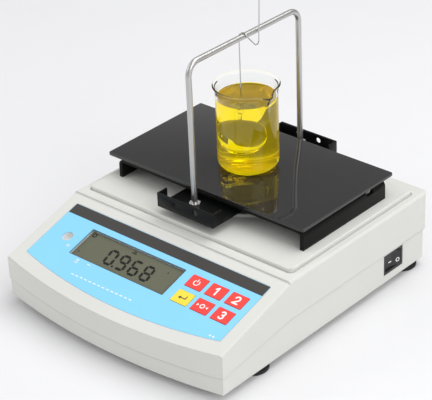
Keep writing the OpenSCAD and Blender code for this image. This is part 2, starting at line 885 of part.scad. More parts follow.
module chassis_plate() {
    color("#9fa3a6") difference() {
        translate([0, pan_y, 0]) rounded_block(chassis_w, chassis_l, chassis_t, 4, z_chassis);
        chassis_places() translate([0, 0, z_chassis - over])
            cylinder(r = small_r + screw_gap, h = chassis_t + 2 * over);
        cell_screw_places(1) translate([0, 0, z_chassis - over])
            cylinder(r = m4_r + screw_gap, h = chassis_t + 2 * over);
        translate([0, pan_y - cell_l / 2 + cell_screw_in, z_chassis - over])
            cylinder(r = stop_r + pilot_gap, h = chassis_t + 2 * over);
    }
}

module chassis_screws() {
    color("#8d9092") chassis_places() translate([0, 0, z_chassis_top])
        screw(small_r, chassis_t + chassis_boss_h - 0.5, small_head_r, small_head_h);
}

module cell_spacer() {
    color("#c4c7c9") difference() {
        translate([-cell_w / 2, pan_y + cell_l / 2 - spacer_l, z_chassis_top])
            cube([cell_w, spacer_l, spacer_h]);
        cell_screw_places(1) translate([0, 0, z_chassis_top - over])
            cylinder(r = m4_r + screw_gap, h = spacer_h + 2 * over);
    }
}

module load_cell() {
    color("#c4c7c9") difference() {
        translate([-cell_w / 2, pan_y - cell_l / 2, z_cell]) cube([cell_w, cell_l, cell_h]);
        for (sy = [-1, 1]) translate([0, pan_y + sy * cell_bore_pitch / 2, z_cell + cell_h / 2])
            rotate([0, 90, 0]) cylinder(r = cell_bore_r, h = 2 * cell_w, center = true);
        translate([0, pan_y, z_cell + cell_h / 2])
            cube([2 * cell_w, cell_bore_pitch, cell_slot], center = true);
        cell_screw_places(1) translate([0, 0, z_cell - over])
            cylinder(r = m4_r + screw_gap, h = m4_grip + m4_tip_gap + over);
        cell_screw_places(-1) translate([0, 0, z_cell_top - m4_grip - m4_tip_gap])
            cylinder(r = m4_r + screw_gap, h = m4_grip + m4_tip_gap + over);
    }
}

module cell_base_screws() {
    color("#8d9092") cell_screw_places(1) translate([0, 0, z_chassis]) rotate([180, 0, 0])
        screw(m4_r, chassis_t + spacer_h + m4_grip, m4_head_r, m4_head_h);
}

module stop_screw() {
    color("#8d9092") translate([0, pan_y - cell_l / 2 + cell_screw_in, z_chassis - 1])
        cylinder(r = stop_r, h = z_cell - stop_gap - z_chassis + 1);
}

module stop_nut() {
    color("#8d9092") translate([0, pan_y - cell_l / 2 + cell_screw_in, z_chassis_top])
        nut(stop_nut_r, stop_nut_h, stop_r + pilot_gap);
}

// Plate on the free end of the load cell, with the post that carries the tray.
module pan_carrier() {
    color("#c4c7c9") difference() {
        union() {
            translate([-carrier_w / 2, pan_y - cell_l / 2, z_carrier])
                cube([carrier_w, cell_l / 2 + carrier_w / 2, carrier_t]);
            translate([0, pan_y, z_carrier]) cylinder(r = post_r, h = z_tray - z_carrier);
        }
        cell_screw_places(-1) translate([0, 0, z_carrier - over])
            cylinder(r = m4_r + screw_gap, h = carrier_t + 2 * over);
        translate([0, pan_y, z_tray - tray_screw_l - m4_tip_gap])
            cylinder(r = m4_r + screw_gap, h = tray_screw_l + far / 8);
    }
}

module carrier_screws() {
    color("#8d9092") cell_screw_places(-1) translate([0, 0, z_carrier_top])
        screw(m4_r, carrier_t + carrier_gap + m4_grip - 0.5, m4_head_r, m4_head_h);
}

module post_seal() {
    color("#202224") translate([0, pan_y, z_platform]) tube(post_hole_r + seal_w, post_r + 1.2, seal_h);
}

// ---------------------------------------------------------------- tray and hanger

module post_places() {
    for (sy = [-1, 1]) translate([0, pan_y + sy * post_pitch / 2, 0]) children();
}

// Folded sheet: floor, an end wall at the front and back, and a return flange at each corner.
module weighing_tray() {
    color("#202327") difference() {
        translate([0, pan_y, z_tray]) union() {
            rounded_block(tray_w, tray_l, tray_t, 1);
            for (sy = [-1, 1]) {
                translate([-tray_w / 2, sy * (tray_l - tray_t) / 2 - tray_t / 2, 0])
                    cube([tray_w, tray_t, tray_h]);
                mirror_x()
                    translate([tray_w / 2 - tray_t, sy * (tray_l - tray_flange) / 2 - tray_flange / 2, 0])
                    cube([tray_t, tray_flange, tray_h]);
            }
        }
        post_places() translate([0, 0, z_tray - over])
            cylinder(r = rod_r + screw_gap, h = tray_t + 2 * over);
        translate([0, pan_y, z_tray - over]) cylinder(r = m4_r + screw_gap, h = tray_t + 2 * over);
        for (sx = [-1, 1])
            translate([sx * tray_hole_pitch / 2, pan_y, z_tray + tray_h - tray_hole_down])
            rotate([90, 0, 0]) cylinder(r = tray_hole_r, h = tray_l + 2 * over, center = true);
    }
}

module tray_screw() {
    color("#8d9092") translate([0, pan_y, z_tray_floor])
        screw(m4_r, tray_t + tray_screw_l, tray_screw_head_r, tray_screw_head_h);
}

// One rod bent into an upside-down U, with both ends through the tray.
module hanger_frame() {
    foot = z_tray - nut_h - 0.4;
    color("#c9c9c6") {
        post_places() translate([0, 0, foot]) cylinder(r = rod_r, h = z_bar - bend_r - foot);
        along = post_pitch - 2 * bend_r;
        translate([0, pan_y - along / 2, z_bar]) rotate([-90, 0, 0]) cylinder(r = rod_r, h = along);
        for (s = [0, 1]) translate([0, pan_y, z_bar - bend_r]) mirror([0, s, 0])
            translate([0, along / 2, 0]) rotate([90, 0, 90])
                rotate_extrude(angle = 90) translate([bend_r, 0]) circle(rod_r);
    }
}

module hanger_nuts() {
    nut_r = nut_flats / sqrt(3);
    color("#b8babb") post_places() {
        translate([0, 0, z_tray - nut_h]) nut(nut_r, nut_h, rod_r + screw_gap);
        translate([0, 0, z_tray_floor]) nut(nut_r, long_nut_h, rod_r + screw_gap);
    }
}

// Route of the wire, from its lower eye over the bar to the loop at its upper end. Places
// are relative to the bar's axis above the hanging strand.
hook_r = rod_r + wire_gap + wire_r;
tail_x = hook_r + 0.4;
tail_bend_r = 2.3;
tail_bend_y = 10.8;
tail_y = tail_bend_y + tail_bend_r;
loop_r = 3.5;
eye_z = -eye_drop;
wire_route = concat(
    [for (a = [70 : -30 : -230]) [-hook_r, eye_r * cos(a), eye_z + eye_r * sin(a)]],
    [[-hook_r, 0, eye_z + eye_r + 2.5], [-hook_r, 0, eye_z / 2], [-hook_r, 0, -3]],
    [for (a = [0 : 18 : 180]) [-hook_r * cos(a), a / 90, hook_r * sin(a)]],
    [[tail_x, 5.8, -tail_drop * 0.68]],
    [for (a = [230 : 20 : 350])
        [tail_x, tail_bend_y + tail_bend_r * cos(a), -tail_drop + tail_bend_r * sin(a)]],
    [[tail_x, tail_y + 0.3, 1], [tail_x, tail_y + 0.9, tail_h / 2], [tail_x, tail_y + 1.3, tail_h - 2]],
    [for (a = [-60 : 30 : 240])
        [tail_x, tail_y + 1.4 + loop_r * cos(a), tail_h + loop_r + loop_r * sin(a)]]
);

function unit(v) = v / norm(v);
function tangent(p, i) = unit(p[min(i + 1, len(p) - 1)] - p[max(i - 1, 0)]);
function carried(v, t) = unit(v - (v * t) * t);
function normals(p, i = 0, v = [1, 0, 0], done = []) =
    i == len(p) ? done
    : let (n = carried(v, tangent(p, i))) normals(p, i + 1, n, concat(done, [n]));

// A round tube swept along the points of a route.
module swept_tube(route, r, sides) {
    n = len(route);
    across = normals(route, 0, [1, 0.02, 0.01]);
    points = [for (i = [0 : n - 1], k = [0 : sides - 1])
        let (a = 360 * k / sides, u = across[i], w = cross(tangent(route, i), u))
        route[i] + r * cos(a) * u + r * sin(a) * w];
    walls = [for (i = [0 : n - 2], k = [0 : sides - 1])
        let (k1 = (k + 1) % sides)
        [i * sides + k, i * sides + k1, (i + 1) * sides + k1, (i + 1) * sides + k]];
    first = [for (k = [sides - 1 : -1 : 0]) k];
    last = [for (k = [0 : sides - 1]) (n - 1) * sides + k];
    polyhedron(points, [for (f = concat(walls, [first, last])) [for (j = [len(f) - 1 : -1 : 0]) f[j]]]);
}

module suspension_wire() {
    color("#b9bbbd") translate([0, pan_y - strand_front, z_bar]) swept_tube(wire_route, wire_r, 8);
}

// Glass bob with an eye that hangs in the wire's eye.
module sinker() {
    bob_eye_z = eye_z - 2 * eye_r + 2 * wire_r + wire_gap;
    neck_h = 3;
    bob_top = bob_eye_z - eye_r - neck_h;
    color([0.85, 0.9, 0.9, 0.5]) translate([-hook_r, pan_y - strand_front, z_bar]) {
        translate([0, 0, bob_eye_z]) rotate([90, 0, 0]) rotate_extrude() translate([eye_r, 0])
            circle(wire_r, $fn = 24);
        translate([0, 0, bob_top - 1]) cylinder(r = 0.8, h = neck_h + 1.2);
        translate([0, 0, bob_top - sinker_l]) rotate_extrude() intersection() {
            union() {
                translate([0, 2]) square([sinker_r, sinker_l - 4]);
                square([sinker_r - 2, sinker_l]);
                for (z0 = [2, sinker_l - 2]) translate([sinker_r - 2, z0]) circle(2, $fn = 48);
            }
            square([2 * sinker_r, sinker_l]);
        }
    }
}

// ---------------------------------------------------------------- bridge and beaker

bridge_y = y_corner + bridge_front;
z_pad = z_platform + pad_t;

module bridge() {
    leg_h = z_bridge - z_pad;
    color("#1c1d1f") difference() {
        along_y(bridge_y, bridge_l) translate([0, z_bridge]) difference() {
            top_section(bridge_w, leg_h, leg_bend_r);
            translate([0, -bridge_t]) top_section(bridge_w - 2 * leg_t, 2 * leg_h, leg_bend_r - leg_t);
        }
        mirror_x()
            translate([0, bridge_y + bridge_l - leg_slot_back, z_bridge - leg_slot_down - leg_slot_h / 2])
            along_x(bridge_w / 2 - leg_t - over, leg_t + 2 * over)
            rounded_rect(leg_slot_l, leg_slot_h, leg_slot_h / 2 - 0.05);
    }
}

module bridge_pads() {
    color("#151515") mirror_x() translate([bridge_w / 2 - leg_t, bridge_y, z_platform])
        cube([leg_t, bridge_l, pad_t]);
}

module top_plate() {
    w = bridge_w + plate_over_left;
    l = bridge_l + plate_over_back;
    color("#2b2b2d") translate([-plate_over_left / 2, bridge_y + l / 2, 0])
        rounded_block(w, l, plate_t, 1, z_bridge);
}

// Profile of a beaker's outside or inside, from its axis out to r.
module beaker_profile(r, z0, h, foot) {
    translate([0, z0 + foot]) square([r, h - foot]);
    translate([0, z0]) square([r - foot, foot + 0.01]);
    intersection() {
        translate([r - foot, z0 + foot]) circle(foot);
        translate([0, z0]) square([r, foot + 0.01]);
    }
}

// A cone that leans outwards through the wall and reaches radius r at the rim.
module spout_cone(r, r_low) {
    start = beaker_r - 4.5;
    lean = atan((beaker_r + spout_out - 1.15 * spout_r - start) / spout_drop);
    rise = spout_drop / cos(lean);
    stretch = 1.4;
    translate([start, 0, beaker_h - spout_drop]) rotate([0, lean, 0])
        cylinder(r1 = r_low, r2 = r_low + stretch * (r - r_low), h = stretch * rise);
}

module beaker() {
    inner_r = beaker_r - beaker_wall;
    rim_r = rim_flare;
    color([0.9, 0.95, 0.95, 0.35]) translate([-beaker_left, pan_y + beaker_behind, z_plate]) difference() {
        union() {
            rotate_extrude() {
                beaker_profile(beaker_r, 0, beaker_h - rim_r / 2, beaker_foot_r);
                translate([beaker_r + rim_r - beaker_wall, beaker_h - beaker_wall / 2])
                    circle(beaker_wall / 2, $fn = 32);
                polygon([
                    [inner_r, beaker_h - 4 * rim_r],
                    [beaker_r, beaker_h - 4 * rim_r],
                    [beaker_r + rim_r - beaker_wall / 2, beaker_h - beaker_wall],
                    [beaker_r + rim_r - beaker_wall, beaker_h],
                    [inner_r, beaker_h - rim_r / 2]
                ]);
            }
            intersection() {
                rotate([0, 0, -spout_turn]) spout_cone(spout_r, 0.9);
                cylinder(r = 2 * beaker_r, h = beaker_h - 0.2);
            }
        }
        rotate_extrude() {
            beaker_profile(inner_r, beaker_wall + 0.5, far, beaker_foot_r - beaker_wall);
            polygon([
                [inner_r - over, beaker_h - 3.5 * rim_r],
                [inner_r, beaker_h - 3.5 * rim_r],
                [beaker_r + rim_r - 1.5 * beaker_wall, beaker_h - beaker_wall / 2],
                [beaker_r + rim_r - 1.5 * beaker_wall, beaker_h + over],
                [inner_r - over, beaker_h + over]
            ]);
        }
        rotate([0, 0, -spout_turn]) spout_cone(spout_r - beaker_wall, 0.1);
    }
}

// ---------------------------------------------------------------- switch and sockets

x_seat = x_lower - switch_recess;
x_face = x_seat + bezel_t;
switch_y = y_corner + switch_back;
switch_z = z_under + switch_up;
switch_body_l = switch_l - 2 * switch_inset;
switch_body_h = switch_h - 2 * switch_inset;
well_l = switch_body_l - 2 * rocker_wall;
well_h = switch_body_h - 2 * rocker_wall;
rocker_half = well_l / 2 - rocker_gap;
rocker_h = well_h - 2 * rocker_side_gap;

module switch_housing() {
    color("#17181a") translate([0, switch_y, switch_z]) difference() {
        union() {
            translate([x_seat, -switch_l / 2, -switch_h / 2]) cube([bezel_t, switch_l, switch_h]);
            translate([x_seat - switch_depth, -switch_body_l / 2, -switch_body_h / 2])
                cube([switch_depth + bezel_t / 2, switch_body_l, switch_body_h]);
        }
        translate([x_face - rocker_well, -well_l / 2, -well_h / 2])
            cube([rocker_well + over, well_l, well_h]);
        translate([x_face - rocker_depth, 0, -switch_h])
            cylinder(r = trunnion_r + trunnion_gap, h = 2 * switch_h);
    }
}

// The rocker turns on two trunnions. Its front half is pressed in.
module rocker() {
    trunnion_l = rocker_h + 2 * rocker_side_gap + rocker_wall;
    color("#101113") translate([x_face - rocker_depth, switch_y, switch_z]) rotate([0, 0, -rocker_tilt]) {
        translate([0, 0, -rocker_h / 2]) linear_extrude(rocker_h) polygon([
            [rocker_rise, -rocker_half], [rocker_rise - 0.9, 0], [rocker_rise, rocker_half],
            [0.4, rocker_half], [-2.4, 2], [-2.4, -2], [0.4, -rocker_half]
        ]);
        translate([0, 0, -trunnion_l / 2]) cylinder(r = trunnion_r, h = trunnion_l);
    }
}

module power_socket() {
    y0 = y_lower_back - case_wall;
    color("#17181a") translate([jack_x, y0, z_socket]) {
        difference() {
            union() {
                translate([-jack_w / 2, -jack_depth, -jack_h / 2]) cube([jack_w, jack_depth, jack_h]);
                rotate([-90, 0, 0]) cylinder(r = jack_r + 1.3, h = case_wall);
            }
            translate([0, case_wall + over, 0]) rotate([90, 0, 0])
                cylinder(r = jack_r, h = jack_hole_depth + over);
        }
        translate([0, case_wall - 1, 0]) rotate([90, 0, 0]) cylinder(r = jack_pin_r, h = jack_hole_depth + 1);
    }
}

module data_socket() {
    y0 = y_lower_back - case_wall;
    color("#9fa3a6") translate([port_x, y0, z_socket]) {
        translate([-port_w / 2, -socket_lip, -port_h / 2]) cube([port_w, socket_lip, port_h]);
        difference() {
            translate([-port_w / 2 + 6.5, -port_depth, -port_h / 2 + 1.75])
                cube([port_w - 13, port_depth + case_wall, port_h - 3.5]);
            translate([-port_w / 2 + 7.3, 0, -port_h / 2 + 2.5])
                cube([port_w - 14.6, case_wall + over, port_h - 5]);
        }
    }
}

// ---------------------------------------------------------------- feet

module foot_pad(sx, back) {
    color("#151515") translate([sx * foot_x, y_corner + back, 0]) difference() {
        union() {
            cylinder(r = foot_r, h = foot_t - 1);
            cylinder(r = foot_r - 1, h = foot_t);
        }
        translate([0, 0, foot_t - foot_pin_h - foot_gap_v]) cylinder(r = foot_pin_r + stud_gap, h = foot_t);
    }
}

module foot_screw(sx, back) {
    z0 = foot_t + foot_gap_v;
    color("#26282b") translate([sx * foot_x, y_corner + back, z0]) {
        translate([0, 0, -foot_pin_h]) cylinder(r = foot_pin_r, h = foot_pin_h + knob_t / 2);
        cylinder(r = knob_r, h = knob_t);
        cylinder(r = stud_r, h = knob_t + stud_l);
    }
}

module foot_pad_front_left() {
    foot_pad(-1, foot_front);
}

module foot_pad_front_right() {
    foot_pad(1, foot_front);
}

module foot_pad_rear_left() {
    foot_pad(-1, foot_rear);
}

module foot_pad_rear_right() {
    foot_pad(1, foot_rear);
}

module foot_screw_front_left() {
    foot_screw(-1, foot_front);
}

module foot_screw_front_right() {
    foot_screw(1, foot_front);
}

module foot_screw_rear_left() {
    foot_screw(-1, foot_rear);
}

module foot_screw_rear_right() {
    foot_screw(1, foot_rear);
}

// ---------------------------------------------------------------- nodes

upper_case();
lower_case();
case_screws();
keypad_overlay();
key_power();
key_one();
key_two();
key_enter();
key_zero();
key_three();
key_board();
key_domes();
key_board_screws();
display_window();
lcd_glass();
lcd_frame();
level_cup();
level_lens();
main_board();
board_parts();
main_board_screws();
chassis_plate();
chassis_screws();
cell_spacer();
load_cell();
cell_base_screws();
stop_screw();
stop_nut();
pan_carrier();
carrier_screws();
post_seal();
weighing_tray();
tray_screw();
hanger_frame();
hanger_nuts();
suspension_wire();
sinker();
bridge();
bridge_pads();
top_plate();
beaker();
switch_housing();
rocker();
power_socket();
data_socket();
foot_pad_front_left();
foot_pad_front_right();
foot_pad_rear_left();
foot_pad_rear_right();
foot_screw_front_left();
foot_screw_front_right();
foot_screw_rear_left();
foot_screw_rear_right();
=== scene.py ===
import json
import math

import bmesh
import bpy
from mathutils import Matrix, Vector


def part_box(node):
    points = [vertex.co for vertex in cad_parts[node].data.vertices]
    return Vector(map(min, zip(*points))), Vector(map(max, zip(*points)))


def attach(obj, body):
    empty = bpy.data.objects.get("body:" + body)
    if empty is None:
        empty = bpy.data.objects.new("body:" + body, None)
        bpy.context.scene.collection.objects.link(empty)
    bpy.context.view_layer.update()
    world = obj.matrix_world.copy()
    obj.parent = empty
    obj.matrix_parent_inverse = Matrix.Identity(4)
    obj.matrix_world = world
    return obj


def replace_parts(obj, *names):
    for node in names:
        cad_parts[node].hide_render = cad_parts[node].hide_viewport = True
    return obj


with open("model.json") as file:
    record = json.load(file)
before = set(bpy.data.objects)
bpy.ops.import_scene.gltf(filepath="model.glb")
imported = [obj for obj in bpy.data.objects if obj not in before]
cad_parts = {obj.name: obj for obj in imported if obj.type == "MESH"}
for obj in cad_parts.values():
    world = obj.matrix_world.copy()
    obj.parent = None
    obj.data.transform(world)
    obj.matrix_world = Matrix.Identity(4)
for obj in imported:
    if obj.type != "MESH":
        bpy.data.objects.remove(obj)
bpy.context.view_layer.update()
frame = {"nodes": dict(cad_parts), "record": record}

# ------------------------------------------------------------------ the frame's own places

MM = 0.001


def low(node):
    return Vector(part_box(node)[0])


def high(node):
    return Vector(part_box(node)[1])


SLOPE = math.radians(16.5)             # tilt of the keypad panel
CASE_LENGTH = 211 * MM                 # along the side walls
CORNER_Y = high("upper_case").y - CASE_LENGTH
FRONT_Z = low("lower_case").z + 29.4 * MM
PLATE_TOP = high("top_plate").z
STRAND_X = (low("sinker").x + high("sinker").x) / 2
STRAND_Y = (low("sinker").y + high("sinker").y) / 2


def on_slope(x, s, h=0.0):
    """A point x to the right, s up the slope and h above it, in millimetres."""
    y = CORNER_Y + (s * math.cos(SLOPE) - h * math.sin(SLOPE)) * MM
    z = FRONT_Z + (s * math.sin(SLOPE) + h * math.cos(SLOPE)) * MM
    return Vector((x * MM, y, z))


# ------------------------------------------------------------------ materials

class Nodes:
    """A few shorthand calls for building a node material."""

    def __init__(self, name):
        self.material = bpy.data.materials.new(name)
        self.material.use_nodes = True
        self.tree = self.material.node_tree
        self.shader = self.tree.nodes["Principled BSDF"]
        self.where = self.tree.nodes.new("ShaderNodeTexCoord").outputs["Object"]

    def add(self, kind, **values):
        node = self.tree.nodes.new(kind)
        for key, value in values.items():
            if hasattr(node, key):
                setattr(node, key, value)
            else:
                node.inputs[key].default_value = value
        return node

    def link(self, out, into):
        self.tree.links.new(out, into)

    def noise(self, scale, detail=3.0, rough=0.55, stretch=None):
        source = self.where
        if stretch:
            mapping = self.add("ShaderNodeMapping")
            mapping.inputs["Scale"].default_value = stretch
            self.link(source, mapping.inputs["Vector"])
            source = mapping.outputs["Vector"]
        node = self.add("ShaderNodeTexNoise")
        node.inputs["Scale"].default_value = scale
        node.inputs["Detail"].default_value = detail
        node.inputs["Roughness"].default_value = rough
        self.link(source, node.inputs["Vector"])
        return node.outputs["Fac"]

    def ramp(self, fac, low_colour, high_colour, start=0.3, stop=0.7):
        node = self.add("ShaderNodeValToRGB")
        node.color_ramp.elements[0].position = start
        node.color_ramp.elements[0].color = (*low_colour, 1)
        node.color_ramp.elements[1].position = stop
        node.color_ramp.elements[1].color = (*high_colour, 1)
        self.link(fac, node.inputs["Fac"])
        return node.outputs["Color"]

    def spread(self, fac, low_value, high_value):
        node = self.add("ShaderNodeMapRange")
        node.inputs["From Min"].default_value = 0.25
        node.inputs["From Max"].default_value = 0.75
        node.inputs["To Min"].default_value = low_value
        node.inputs["To Max"].default_value = high_value
        self.link(fac, node.inputs["Value"])
        return node.outputs["Result"]

    def bump(self, fac, depth, strength=1.0, normal=None):
        node = self.add("ShaderNodeBump")
        node.inputs["Strength"].default_value = strength
        node.inputs["Distance"].default_value = depth
        self.link(fac, node.inputs["Height"])
        if normal is not None:
            self.link(normal, node.inputs["Normal"])
        return node.outputs["Normal"]

    def edge(self, radius):
        node = self.add("ShaderNodeBevel", samples=4)
        node.inputs["Radius"].default_value = radius
        return node.outputs["Normal"]


def tint(colour, factor):
    return tuple(min(1.0, max(0.0, c * factor)) for c in colour)


def plastic(name, colour, rough=0.45, vary=0.03, grain=1800, grain_depth=0.012 * MM, edge=0.0, specular=0.5):
    """Moulded or painted surface: faint tone changes, a fine grain and uneven gloss."""
    n = Nodes(name)
    tone = n.noise(35, 4)
    n.link(n.ramp(tone, tint(colour, 1 - vary), tint(colour, 1 + vary)), n.shader.inputs["Base Color"])
    n.link(n.spread(n.noise(90, 5), rough * 0.88, min(1, rough * 1.12)), n.shader.inputs["Roughness"])
    n.shader.inputs["Specular IOR Level"].default_value = specular
    normal = n.edge(edge) if edge else None
    n.link(n.bump(n.noise(grain, 2), grain_depth, 1.0, normal), n.shader.inputs["Normal"])
    return n.material


def metal(name, colour, rough=0.25, stretch=(1, 1, 1), scale=900, depth=0.004 * MM, vary=0.05):
    """Metal with fine drawn or brushed lines along the axis that stretch squeezes."""
    n = Nodes(name)
    lines = n.noise(scale, 3, 0.6, stretch)
    n.link(n.ramp(lines, tint(colour, 1 - vary), tint(colour, 1 + vary)), n.shader.inputs["Base Color"])
    n.shader.inputs["Metallic"].default_value = 1.0
    n.link(n.spread(lines, rough * 0.8, rough * 1.25), n.shader.inputs["Roughness"])
    n.link(n.bump(lines, depth), n.shader.inputs["Normal"])
    return n.material


def clear(name, colour, rough=0.02, ior=1.47, vary=0.01, painted_glow=0.0):
    """Refracting glass or liquid, with a faint painted glow: emission in its own colour that stands in for
    light shining through it.
    """
    n = Nodes(name)
    n.link(n.ramp(n.noise(25, 2), tint(colour, 1 - vary), colour), n.shader.inputs["Base Color"])
    n.link(n.spread(n.noise(60, 2), rough * 0.5, rough * 1.5), n.shader.inputs["Roughness"])
    n.shader.inputs["Transmission Weight"].default_value = 1.0
    n.shader.inputs["Emission Color"].default_value = (*colour, 1)
    n.shader.inputs["Emission Strength"].default_value = painted_glow
    n.shader.inputs["IOR"].default_value = ior
    return n.material


def sheer(name, colour, alpha, rough=0.08):
    """Thin clear film or pane that shows what lies right behind it."""
    n = Nodes(name)
    n.link(n.ramp(n.noise(40, 2), tint(colour, 0.97), colour), n.shader.inputs["Base Color"])
    n.link(n.spread(n.noise(70, 3), rough * 0.7, rough * 1.4), n.shader.inputs["Roughness"])
    n.shader.inputs["Alpha"].default_value = alpha
    return n.material


CASE = plastic("case_plastic", (0.690, 0.690, 0.655), rough=0.5, vary=0.012, grain=2600,
               grain_depth=0.01 * MM, edge=0.9 * MM, specular=0.35)
BASE = plastic("base_plastic", (0.690, 0.690, 0.655), rough=0.52, vary=0.012, grain=2600,
               grain_depth=0.01 * MM, edge=0.6 * MM, specular=0.35)
FILM = plastic("film_blue", (0.260, 0.665, 0.985), rough=0.36, vary=0.012, grain=3200, grain_depth=0.004 * MM)
STRIP = plastic("film_dark", (0.050, 0.046, 0.042), rough=0.36, vary=0.03, grain=3200, grain_depth=0.004 * MM)
INK_WHITE = plastic("ink_white", (0.90, 0.91, 0.92), rough=0.4, vary=0.01, grain=3200, grain_depth=0.002 * MM)
# Dark ink for printed signs, also used as painted shade along the display window's top edge.
DARK_INK_AND_SHADE = plastic("dark_ink_and_shade", (0.055, 0.055, 0.060), rough=0.4, vary=0.02, grain=3200,
                   grain_depth=0.002 * MM)
KEY_RED = plastic("key_red", (0.950, 0.062, 0.050), rough=0.38, vary=0.02, grain=2400,
                  grain_depth=0.006 * MM, edge=0.3 * MM)
KEY_YELLOW = plastic("key_yellow", (0.980, 0.740, 0.060), rough=0.38, vary=0.02, grain=2400,
                     grain_depth=0.006 * MM, edge=0.3 * MM)
LCD = plastic("lcd_glass", (0.132, 0.135, 0.090), rough=0.35, vary=0.02, grain=900, grain_depth=0.001 * MM,
              specular=0.3)
LCD_BLACK = plastic("lcd_segment", (0.004, 0.004, 0.004), rough=0.5, vary=0.05, grain=900, specular=0.1)
BLACK = plastic("black_moulding", (0.012, 0.012, 0.013), rough=0.42, vary=0.08, grain=2200,
                grain_depth=0.008 * MM, edge=0.25 * MM)
TRAY = plastic("tray_coat", (0.0050, 0.0054, 0.0052), rough=0.40, vary=0.10, grain=1500,
               grain_depth=0.010 * MM, edge=0.4 * MM, specular=0.18)
BRIDGE = plastic("bridge_sheet", (0.0050, 0.0052, 0.0045), rough=0.42, vary=0.05, grain=1500,
                 grain_depth=0.004 * MM, edge=0.5 * MM, specular=0.12)
PLATE = plastic("plate_polished", (0.0185, 0.0172, 0.0178), rough=0.025, vary=0.05, grain=500,
                grain_depth=0.0004 * MM, edge=0.3 * MM, specular=0.62)
RUBBER = plastic("rubber", (0.014, 0.014, 0.014), rough=0.8, vary=0.15, grain=1600, grain_depth=0.03 * MM)
LEVEL = plastic("level_pale", (0.84, 0.85, 0.85), rough=0.4, vary=0.03)
BOARD = plastic("board_green", (0.015, 0.11, 0.045), rough=0.35, vary=0.1, grain=700)
CHIPS = plastic("chip_black", (0.02, 0.02, 0.02), rough=0.5, vary=0.1)
STEEL = metal("screw_steel", (0.60, 0.60, 0.61), 0.28)
ALUMINIUM = metal("aluminium", (0.72, 0.73, 0.74), 0.38, stretch=(1, 0.08, 1))
ROD = metal("rod_steel", (0.555, 0.55, 0.535), 0.34, stretch=(1, 1, 0.02), scale=1500,
            depth=0.001 * MM, vary=0.02)
NUT = metal("nut_steel", (0.78, 0.76, 0.74), 0.2)
WIRE = metal("wire_steel", (0.55, 0.55, 0.55), 0.2, stretch=(1, 1, 0.1))
GLASS = clear("beaker_glass", (0.985, 0.995, 0.99), 0.006, 1.32)
# Painted glow on the rim: faint emission in its colour, brightening the glass as light shining through it
# would.
RIM = clear("beaker_rim", (1.0, 0.99, 0.93), 0.01, 1.10, painted_glow=0.03)
BOB = clear("bob_glass", (0.95, 0.97, 0.96), 0.01, 1.12)
# Painted glow in the liquid: emission in its yellow, standing in for the backdrop light that shines through
# it.
LIQUID = clear("liquid_yellow", (1.0, 0.77, 0.004), 0.004, 1.36, painted_glow=0.085)
PANE = sheer("window_pane", (0.30, 0.31, 0.26), 0.03, 0.3)
LENS = sheer("level_lens", (0.90, 0.90, 0.86), 0.15, 0.05)

# ------------------------------------------------------------------ building pieces


def place(name, mesh, material, body, smooth=True):
    """Makes an object of a mesh, and gives it its material and body."""
    piece = bpy.data.objects.new(name, mesh)
    bpy.context.scene.collection.objects.link(piece)
    piece.data.materials.clear()
    piece.data.materials.append(material)
    if smooth:
        soften(piece)
    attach(piece, body)
    return piece


def soften(piece, angle=32):
    """Smooth shading that keeps the edges sharper than angle."""
    for face in piece.data.polygons:
        face.use_smooth = True
    bm = bmesh.new()
    bm.from_mesh(piece.data)
    limit = math.radians(angle)
    for edge in bm.edges:
        edge.smooth = len(edge.link_faces) == 2 and edge.calc_face_angle(0) < limit
    bm.to_mesh(piece.data)
    bm.free()


def from_bmesh(name, bm, material, body, smooth=True):
    bmesh.ops.recalc_face_normals(bm, faces=bm.faces)
    mesh = bpy.data.meshes.new(name)
    bm.to_mesh(mesh)
    bm.free()
    return place(name, mesh, material, body, smooth)


def lathe(profile, centre, steps=96, closed=True):
    """A mesh turned about the vertical through centre, from (radius, height) pairs."""
    bm = bmesh.new()
    rings = []
    for radius, height in profile:
        if radius < 1e-7:
            rings.append([bm.verts.new(centre + Vector((0, 0, height)))])
            continue
        rings.append([bm.verts.new(centre + Vector((radius * math.cos(math.tau * k / steps),
                                                    radius * math.sin(math.tau * k / steps), height)))
                      for k in range(steps)])
    pairs = list(zip(rings, rings[1:]))
    if closed:
        pairs.append((rings[-1], rings[0]))
    for first, second in pairs:
        if len(first) == 1 and len(second) == 1:
            continue
        for k in range(steps):
            m = (k + 1) % steps
            corners = [first[k % len(first)], first[m % len(first)],
                       second[m % len(second)], second[k % len(second)]]
            unique = [v for i, v in enumerate(corners) if v not in corners[:i]]
            bm.faces.new(unique)
    return bm


def arc(cx, cy, radius, start, stop, steps):
    """Points along an arc, angles in degrees."""
    return [(cx + radius * math.cos(math.radians(start + (stop - start) * i / steps)),
             cy + radius * math.sin(math.radians(start + (stop - start) * i / steps)))
            for i in range(steps + 1)]


def dress(node, material):
    """Gives a CAD node that stays its finish."""
    shown = frame["nodes"][node]
    shown.data.materials.clear()
    shown.data.materials.append(material)


